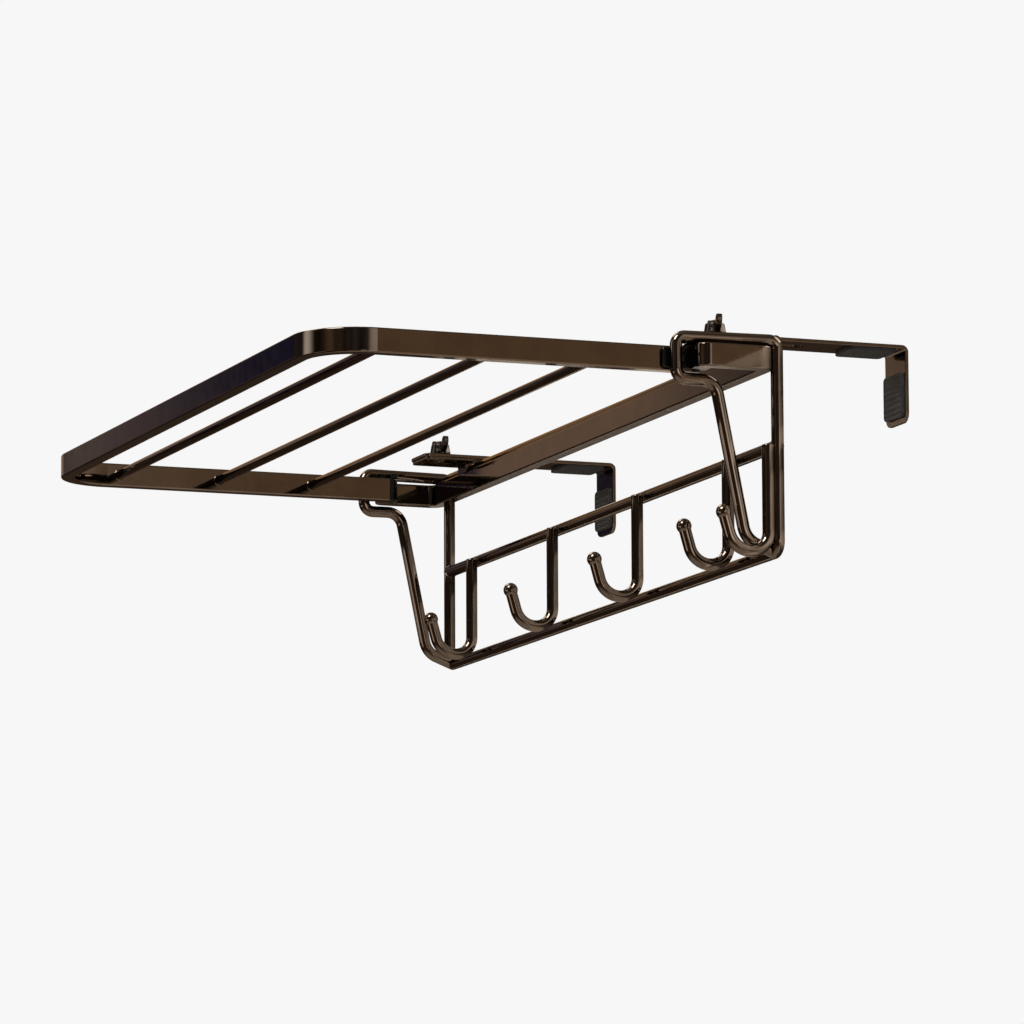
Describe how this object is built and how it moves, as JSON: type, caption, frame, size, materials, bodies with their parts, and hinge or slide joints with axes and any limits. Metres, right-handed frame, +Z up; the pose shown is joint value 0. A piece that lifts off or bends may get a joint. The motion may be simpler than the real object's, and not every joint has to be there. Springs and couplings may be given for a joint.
{
  "type": "wall mounted fold down drying rack",
  "caption": "Small fold-down drying rack that clamps over the top edge of a panel radiator, with a swinging airing frame above a row of hooks.",
  "frame": {"origin": "where the radiator's top plane meets its front face, midway between the two clamp straps", "axes": "+X along the radiator to the right as seen from the room, -Y out into the room, +Z up"},
  "size_m": [0.386, 0.2565, 0.1007],
  "materials": {
    "coated_wire": "gloss brown-black coating on steel wire",
    "coated_bar": "gloss brown-black coating on flat steel tube",
    "coated_strap": "semi-gloss brown-black coating on steel strip",
    "dark_fastener": "black-plated steel",
    "black_nylon": "moulded, satin",
    "grip_rubber": "matt"
  },
  "bodies": {
    "bracket": {"left_bracket_wire": "coated_wire", "right_bracket_wire": "coated_wire", "top_cross_rail": "coated_wire", "upper_hook_rail": "coated_wire", "lower_hook_rail": "coated_wire", "hook_1": "coated_wire", "hook_2": "coated_wire", "hook_3": "coated_wire", "hook_4": "coated_wire", "hook_5": "coated_wire", "rear_bar": "coated_bar", "left_hinge_insert": "black_nylon", "right_hinge_insert": "black_nylon", "left_pivot_pin": "dark_fastener", "right_pivot_pin": "dark_fastener", "left_clamp_tab": "coated_strap", "right_clamp_tab": "coated_strap", "left_clamp_stud": "dark_fastener", "right_clamp_stud": "dark_fastener", "left_clamp_washer": "dark_fastener", "right_clamp_washer": "dark_fastener"},
    "swing_frame": {"frame_tube": "coated_bar", "airer_rod_1": "coated_wire", "airer_rod_2": "coated_wire", "airer_rod_3": "coated_wire", "left_end_plug": "black_nylon", "right_end_plug": "black_nylon"},
    "left_strap": {"left_hook_strap": "coated_strap", "left_strap_pad": "grip_rubber", "left_lip_pad": "grip_rubber"},
    "right_strap": {"right_hook_strap": "coated_strap", "right_strap_pad": "grip_rubber", "right_lip_pad": "grip_rubber"},
    "left_nut": {"left_wing_nut": "dark_fastener"},
    "right_nut": {"right_wing_nut": "dark_fastener"}
  },
  "joints": [
    {"name": "frame_fold", "type": "hinge", "parent": "bracket", "child": "swing_frame", "pos_m": [0, -0.0405, -0.0103], "axis": [-1, 0, 0], "range_deg": [0, 95]},
    {"name": "left_strap_slide", "type": "slide", "parent": "bracket", "child": "left_strap", "axis": [0, -1, 0], "range_m": [0, 0.035]},
    {"name": "left_wing_nut_turn", "type": "hinge", "parent": "bracket", "child": "left_nut", "pos_m": [-0.1593, -0.01715, 0.0057], "axis": [0, 0, 1], "continuous": true},
    {"name": "right_strap_slide", "type": "slide", "parent": "bracket", "child": "right_strap", "axis": [0, -1, 0], "range_m": [0, 0.035]},
    {"name": "right_wing_nut_turn", "type": "hinge", "parent": "bracket", "child": "right_nut", "pos_m": [0.1593, -0.01715, 0.0057], "axis": [0, 0, 1], "continuous": true}
  ]
}
